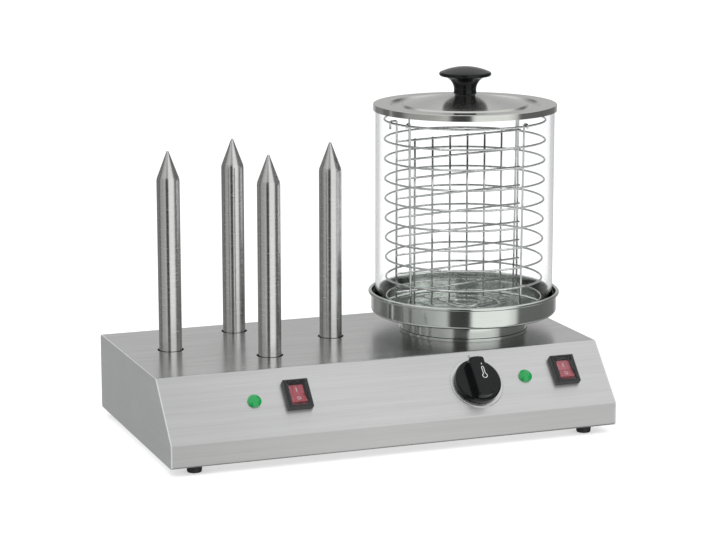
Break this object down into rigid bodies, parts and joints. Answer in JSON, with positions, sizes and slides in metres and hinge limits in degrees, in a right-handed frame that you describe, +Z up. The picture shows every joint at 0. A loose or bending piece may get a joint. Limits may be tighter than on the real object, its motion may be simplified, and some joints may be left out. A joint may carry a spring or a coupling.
{
  "type": "hot dog toaster",
  "caption": "Countertop hot dog toaster: steel housing with four heated spikes, and a steamer with glass cylinder, wire basket and lid, thermostat dial, two rockers and two pilot lamps.",
  "frame": {"origin": "on the floor under the middle of the part's bounding box, midway across the housing", "axes": "+X to the right along the housing, seen from the controls; +Y to the back; +Z up"},
  "size_m": [0.5, 0.2838, 0.3849],
  "materials": {
    "housing_steel": "fine brushed",
    "polished_steel": "polished",
    "spike_steel": "satin",
    "zinc": "zinc plated",
    "heater_metal": "as cast",
    "element_metal": "dull",
    "clear_glass": "clear",
    "chrome_wire": "bright",
    "black_gloss": "glossy",
    "black_matte": "matt",
    "green_lens": "translucent",
    "red_rocker": "translucent",
    "clear_cover": "clear",
    "black_rubber": "matt",
    "terminal_plastic": "matt"
  },
  "bodies": {
    "housing": {"housing_shell": "housing_steel", "left_side_panel": "housing_steel", "right_side_panel": "housing_steel", "base_plate": "housing_steel", "spike_bracket": "housing_steel", "pan_base_ring": "polished_steel", "water_pan": "polished_steel", "dial_ring": "polished_steel", "heating_spike_left": "spike_steel", "heating_spike_rear": "spike_steel", "heating_spike_front": "spike_steel", "heating_spike_right": "spike_steel", "base_screws": "zinc", "base_nuts": "zinc", "spike_nuts": "zinc", "pan_studs": "zinc", "pan_nuts": "zinc", "pan_spacers": "zinc", "thermostat_screws": "zinc", "spike_plugs": "zinc", "heater_plate": "heater_metal", "spike_heater_cores": "heater_metal", "heater_element": "element_metal", "thermostat_bulb": "element_metal", "switch_left_frame": "black_matte", "switch_right_frame": "black_matte", "cord_gland": "black_matte", "gland_nut": "black_matte", "thermostat_body": "black_matte", "pilot_lamp_sockets": "black_matte", "pilot_lamp_left": "green_lens", "pilot_lamp_right": "green_lens", "switch_covers": "clear_cover", "foot_front_left": "black_rubber", "foot_front_right": "black_rubber", "foot_rear_left": "black_rubber", "foot_rear_right": "black_rubber", "terminal_block": "terminal_plastic"},
    "glass": {"glass_cylinder": "clear_glass"},
    "basket": {"basket_ring_01": "chrome_wire", "basket_ring_02": "chrome_wire", "basket_ring_03": "chrome_wire", "basket_ring_04": "chrome_wire", "basket_ring_05": "chrome_wire", "basket_ring_06": "chrome_wire", "basket_ring_07": "chrome_wire", "basket_ring_08": "chrome_wire", "basket_ring_09": "chrome_wire", "basket_ring_10": "chrome_wire", "basket_floor_rings": "chrome_wire", "basket_upright_low": "chrome_wire", "basket_upright_high": "chrome_wire", "basket_divider": "chrome_wire"},
    "lid": {"lid": "polished_steel", "lid_knob": "black_gloss", "lid_knob_screw": "zinc"},
    "dial": {"thermostat_knob": "black_gloss", "thermostat_spindle": "zinc"},
    "left_rocker": {"switch_left_rocker": "red_rocker"},
    "right_rocker": {"switch_right_rocker": "red_rocker"}
  },
  "joints": [
    {"name": "glass_lift", "type": "slide", "parent": "housing", "child": "glass", "axis": [0, 0, 1], "range_m": [0, 0.06]},
    {"name": "basket_lift", "type": "slide", "parent": "glass", "child": "basket", "axis": [0, 0, 1], "range_m": [0, 0.24]},
    {"name": "lid_lift", "type": "slide", "parent": "basket", "child": "lid", "axis": [0, 0, 1], "range_m": [0, 0.12]},
    {"name": "thermostat_turn", "type": "hinge", "parent": "housing", "child": "dial", "pos_m": [0.0969, -0.11422, 0.06282], "axis": [0, 0.7346, -0.6785], "range_deg": [0, 280]},
    {"name": "switch_left_press", "type": "hinge", "parent": "housing", "child": "left_rocker", "pos_m": [-0.1046, -0.11083, 0.06649], "axis": [1, 0, 0], "range_deg": [0, 20]},
    {"name": "switch_right_press", "type": "hinge", "parent": "housing", "child": "right_rocker", "pos_m": [0.2006, -0.11083, 0.06649], "axis": [1, 0, 0], "range_deg": [0, 20]}
  ]
}
